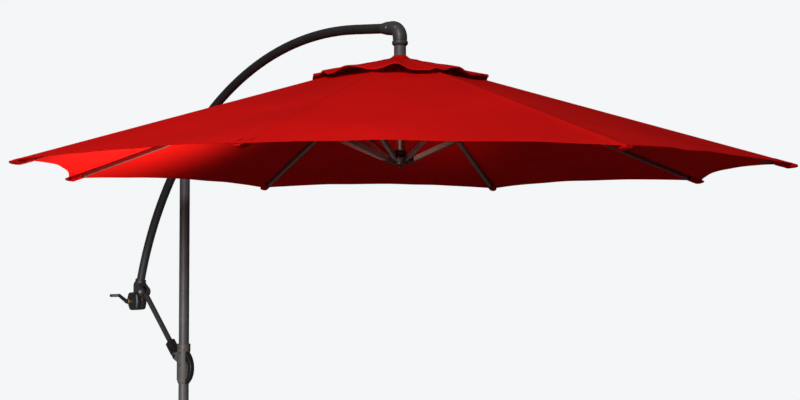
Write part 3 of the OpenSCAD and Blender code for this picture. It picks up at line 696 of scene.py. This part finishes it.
def apex_collar():
    """The gathered cloth that climbs the post above the flaps."""
    pleats = 11
    sides = pleats * 14
    post = 0.0245
    profile = [(2.3945, 0.084), (2.3975, 0.070), (2.4005, 0.055), (2.4040, 0.043),
               (2.4090, 0.0335), (2.4150, 0.0275), (2.4175, 0.0262), (2.4177, 0.0250),
               (2.4150, 0.0255), (2.4080, 0.0315), (2.4028, 0.0415), (2.3992, 0.054),
               (2.3962, 0.069), (2.3932, 0.083)]
    points, uv = [], []
    for z, radius in profile:
        depth = 0.0026 * min(1.0, (radius - post) / 0.012 + 0.15)
        for j in range(sides):
            turn = 2 * math.pi * j / sides
            uneven = 2 * noise.noise(Vector((math.cos(turn), math.sin(turn), 0)))
            fold = math.sin(turn * pleats + uneven)
            r = max(post, radius + depth * fold)
            points.append(Vector((HUB_X + r * math.cos(turn), r * math.sin(turn), z)))
            uv.append((0.04 * turn, z + radius))
    made = piece("apex_collar", points, ring_faces(len(profile), sides, closed=True), "arm",
                 "fabric", ["hub_cap"], uv=uv, sharp=80)


def tip_pocket(k):
    """The stitched pocket over a rib's end, which keeps the cloth taut."""
    turn = rib_angle(k)
    radial = Vector((math.cos(turn), math.sin(turn), 0))
    side = Vector((-math.sin(turn), math.cos(turn), 0))
    down = Vector((0, 0, -1))
    slope = radial * math.cos(RIB_SLOPE) + down * math.sin(RIB_SLOPE)
    end = CANOPY_R + 0.010
    tip = in_plan(k, end, 0, fabric_height(k, end, 0))
    points, uv = [], []
    steps, around = 26, 22
    wrap = 0.45
    opened = 0.45
    for i in range(steps + 1):
        share = i / steps
        back = tip - slope * (POCKET * share) - Vector((0, 0, 0.0016))
        swell = min(1.0, share / opened) ** 0.7
        width = 0.011 + 0.008 * swell
        depth = 0.005 + 0.0175 * swell
        gather = 0.0009 * math.sin(math.pi * share) * math.sin(15 * share + 1.7 * k)
        for j in range(around + 1):
            a = (math.pi + 2 * wrap) * j / around - wrap
            crease = gather * (0.6 + 0.4 * math.sin(3 * a + k))
            if math.sin(a) > 0:
                low = (depth + crease) * math.sin(a) ** 0.8
            else:
                low = 0.005 * math.sin(a)
            points.append(back + side * (width + crease) * math.cos(a) + down * low)
            uv.append((width * a, POCKET * share))
    columns = around + 1
    faces = [(here, here + 1, here + columns + 1, here + columns)
             for i in range(steps) for here in range(i * columns, i * columns + around)]
    faces.append(tuple(range(around, -1, -1)))
    made = piece("tip_pocket_%d" % k, points, faces, "rib_%d" % k, "fabric", uv=uv)
    skin = made.modifiers.new("thickness", "SOLIDIFY")
    skin.thickness = FABRIC


# ---- elbow ----


def elbow_casting():
    """The bend between the arm and the post: a sleeve, a smooth bend, a groove and a collar."""
    body_r = 0.0288
    sleeve = ((0.168, 0.0206), (0.1685, 0.0222), (0.176, 0.0232), (0.188, 0.0258),
              (0.196, 0.0268), (0.204, 0.0271), (BEND_RUN - 0.002, body_r))
    stations = []
    for along, radius in sleeve:
        p = STRAIGHT + ALONG_END * along
        stations.append((p.x, p.z, -ARM_DIP, radius))
    for i in range(16):
        angle = (math.pi / 2 - ARM_DIP) * (1 - i / 16)
        stations.append((BEND_X + BEND_R * math.cos(angle), BEND_Z + BEND_R * math.sin(angle),
                         angle - math.pi / 2, body_r))
    below = ((2.4792, 0.0284), (2.4784, 0.0270), (2.4766, 0.0270), (2.4758, 0.0296),
             (2.4740, 0.0314), (2.4710, 0.0319), (2.4660, 0.0319), (2.4630, 0.0312),
             (2.4600, 0.0290), (2.4575, 0.0262), (2.4565, 0.0242))
    for z, radius in below:
        stations.append((HUB_X, z, -math.pi / 2, radius))
    points, faces = sweep(stations, 64)
    piece("elbow_casting", points, faces, "arm", "dark_fitting", ["elbow"], sharp=50)


# ---- crank ----


def housing_ring(inset, y, corner_points=10):
    """The housing's outline, drawn in by inset: the hull round six circles, at one depth."""
    spots = ((-0.030, 0.026, 0.016), (-0.038, 0.004, 0.016), (-0.021, -0.031, 0.015),
             (0.022, -0.029, 0.014), (0.026, -0.006, 0.016), (0.022, 0.026, 0.016))
    around = []
    for x, z, radius in spots:
        for j in range(4 * corner_points):
            turn = 2 * math.pi * j / (4 * corner_points)
            around.append(Vector((x + (radius - inset) * math.cos(turn),
                                  z + (radius - inset) * math.sin(turn))))
    order = geometry.convex_hull_2d(around)
    outline = [around[i] for i in order]
    count = HOUSING_POINTS
    ring, at = [], 0
    start = max(range(len(outline)), key=lambda i: outline[i].x)
    outline = outline[start:] + outline[:start]
    lengths = [0.0]
    for a, b in zip(outline, outline[1:] + outline[:1]):
        lengths.append(lengths[-1] + (b - a).length)
    for j in range(count):
        want = lengths[-1] * j / count
        while lengths[at + 1] < want:
            at += 1
        a, b = outline[at], outline[(at + 1) % len(outline)]
        share = (want - lengths[at]) / max(lengths[at + 1] - lengths[at], 1e-9)
        p = a + (b - a) * share
        ring.append(Vector((HOUSING_X + p.x, y, HOUSING_Z + p.y)))
    return ring


def crank_cover(side, name, node):
    """One rounded half of the crank's housing, with a parting line and a flat outer face; crank_boss puts the boss
    on the left one.
    """
    half, edge = HOUSING_HALF, HOUSING_EDGE
    profile = [(0.0016, 0.0002), (0.0004, 0.0010), (0.0, 0.0022)]
    profile += [(edge * (1 - math.cos(t)), half - edge + edge * math.sin(t))
                for t in [math.pi / 2 * i / 6 for i in range(7)]]
    points = []
    for inset, y in profile:
        points += housing_ring(inset, side * y)
    faces = ring_faces(len(profile), HOUSING_POINTS)
    made = piece(name, points, faces, "arm", "plastic", [node], sharp=40)
    bm = bmesh.new()
    bm.from_mesh(made.data)
    bmesh.ops.recalc_face_normals(bm, faces=bm.faces)
    bm.to_mesh(made.data)
    bm.free()


def on_crank(y):
    return Vector((CRANK.x, y, CRANK.z))


def crank_boss():
    """The raised ring where the shaft comes out of the housing."""
    profile = [(0, 0.0155), (0.0032, 0.0152), (0.0052, 0.0140), (0.0060, 0.0120), (0.0062, 0.0052)]
    points, faces = lathe(profile, on_crank(BOSS_Y), (0, -1, 0))
    piece("crank_boss", points, faces, "arm", "plastic", sharp=50)


def crank_washer():
    points, faces = lathe(rounded(0, 0.0035, 0.0088, 0.0008, 3), on_crank(WASHER_Y), (0, -1, 0))
    piece("crank_washer", points, faces, "crank", "plastic", material=WASHER_WHITE)


def crank_disc():
    profile = rounded(0, 0.0042, 0.0135, 0.0009, 3)
    points, faces = lathe(profile, on_crank(DISC_Y), (0, -1, 0))
    piece("crank_disc", points, faces, "crank", "brass", ["crank_bush"])


def crank_handle_grip():
    """The turning grip: ribbed, waisted, with a dark domed end."""
    profile = [(0, 0.0058), (0.0006, 0.0068), (0.002, 0.0073)]
    grooves = 5
    for i in range(grooves):
        at = 0.008 + 0.0062 * i
        profile += [(at, 0.0074), (at + 0.0006, 0.0067), (at + 0.0014, 0.0067),
                    (at + 0.002, 0.0074)]
    profile += [(0.0405, 0.0071), (GRIP_LENGTH, 0.0066)]
    start = Vector((GRIP.x, GRIP_Y, GRIP.z))
    points, faces = lathe(profile, start, (0, -1, 0))
    piece("crank_grip_body", points, faces, "crank_grip", "plastic", ["crank_grip"],
          material=GRIP_GREY, sharp=30)
    dome = [(0, 0.0066), (0.0008, 0.0074)] + [
        (0.0018 + 0.0040 * math.sin(t), 0.0012 + 0.0062 * math.cos(t))
        for t in [math.pi / 2 * i / 8 for i in range(9)]]
    points, faces = lathe(dome, start + Vector((0, -GRIP_LENGTH, 0)), (0, -1, 0))
    piece("crank_grip_end", points, faces, "crank_grip", "plastic", sharp=40)


# ---- handle on the slider ----


def carve(target, cutter):
    """Cuts the cutter's shape out of the target and removes the cutter."""
    cut = target.modifiers.new("cut", "BOOLEAN")
    cut.operation = "DIFFERENCE"
    cut.solver = "EXACT"
    cut.object = cutter
    bpy.context.view_layer.update()
    shaped = bpy.data.meshes.new_from_object(
        target.evaluated_get(bpy.context.evaluated_depsgraph_get()))
    target.modifiers.clear()
    target.data = shaped
    bpy.data.objects.remove(cutter)


def arc(centre, radius, start, end, steps):
    """Points along an arc in the XZ plane, with its angles in degrees."""
    turns = [math.radians(start + (end - start) * i / steps) for i in range(steps + 1)]
    return [(centre[0] + radius * math.cos(t), centre[1] + radius * math.sin(t)) for t in turns]


def handle_bow():
    """The D-shaped handle: a bow with rounded edges, a grip hole, and a slot for the lock lever."""
    half = 0.011
    outline = arc((-0.017, 1.097), 0.088, -60.5, 60.5, 40)
    outline += arc((0.0063, 1.0835), 0.0447, 63.4, -63.4, 36)
    bm = bmesh.new()
    face = bm.faces.new([bm.verts.new((x, -half, z)) for x, z in outline])
    made = bmesh.ops.extrude_face_region(bm, geom=[face])
    bmesh.ops.translate(bm, vec=(0, 2 * half, 0),
                        verts=[v for v in made["geom"] if isinstance(v, bmesh.types.BMVert)])
    bmesh.ops.recalc_face_normals(bm, faces=bm.faces)
    sides = [e for e in bm.edges if abs(e.verts[0].co.y - e.verts[1].co.y) < 1e-6]
    bmesh.ops.bevel(bm, geom=sides, offset=0.0048, segments=4, profile=0.5, affect="EDGES",
                    clamp_overlap=True)
    mesh = bpy.data.meshes.new("handle_bow")
    bm.to_mesh(mesh)
    bm.free()
    points = [v.co.copy() for v in mesh.vertices]
    faces = [tuple(f.vertices) for f in mesh.polygons]
    bow = piece("handle_bow", points, faces, "slider", "plastic", ["d_handle"], sharp=35)
    slot_box = bpy.data.meshes.new("slot")
    low, high = (0.018, -0.0052, 1.108), (0.0475, 0.0052, 1.1435)
    corners = [(x, y, z) for x in (low[0], high[0]) for y in (low[1], high[1])
               for z in (low[2], high[2])]
    slot_box.from_pydata(corners, [], [(0, 1, 3, 2), (4, 6, 7, 5), (0, 4, 5, 1), (2, 3, 7, 6),
                                       (0, 2, 6, 4), (1, 5, 7, 3)])
    cutter = bpy.data.objects.new("slot", slot_box)
    bpy.context.scene.collection.objects.link(cutter)
    carve(bow, cutter)


# ---- CAD nodes that stay, with their finishes ----


SOFT_EDGES = {
    "cross_legs": 0.003, "ballast_slabs": 0.006, "base_socket": 0.0015, "strut_socket": 0.0035,
    "crank_arm": 0.002, "lock_lever": 0.001, "arm_saddle": 0.003, "arm_clevis": 0.002,
    "slider_sleeve": 0.0015, "strut_eye": 0.001, "pole_head": 0.002, "clamp_knob": 0.0015,
    "runner": 0.001, "top_hub": 0.001,
}


def soften(node, width):
    """Rounds a CAD node's sharp edges without touching its own mesh."""
    weld = node.modifiers.new("weld", "WELD")
    weld.merge_threshold = 0.00001
    bevel = node.modifiers.new("edges", "BEVEL")
    bevel.width = width
    bevel.segments = 3
    bevel.limit_method = "ANGLE"
    bevel.angle_limit = math.radians(50)
    bevel.harden_normals = True


FINISHES = {
    "arm_fasteners": ZINC,
    "slider_sleeve": SLIDER_GREY,
    "slider_fasteners": DULL_STEEL,
    "lock_lever": DULL_STEEL,
    "arm_pivot_bolt": DULL_STEEL,
    **{name: RIB_METAL for name in frame["nodes"]
       if name.startswith(("rib_", "stretcher_")) or name == "centre_tube"},
}


def finish_nodes():
    slots = {part["node"]: part["material_slot"] for part in frame["record"]["subparts"]}
    for name, node in frame["nodes"].items():
        node.data.materials.clear()
        node.data.materials.append(FINISHES.get(name, MATERIALS[slots[name]]))
    for name, width in SOFT_EDGES.items():
        soften(frame["nodes"][name], width)


camera = make_camera()
make_floor()
make_backdrop()
make_lights(camera)
bpy.context.scene.view_settings.view_transform = "Standard"
finish_nodes()
for k in range(1, RIBS + 1):
    canopy_panel(k)
    vent_flap(k)
    tip_pocket(k)
apex_collar()
elbow_casting()
crank_cover(-1, "crank_cover_left", "crank_housing_left")
crank_cover(1, "crank_cover_right", "crank_housing_right")
crank_boss()
crank_washer()
crank_disc()
crank_handle_grip()
handle_bow()
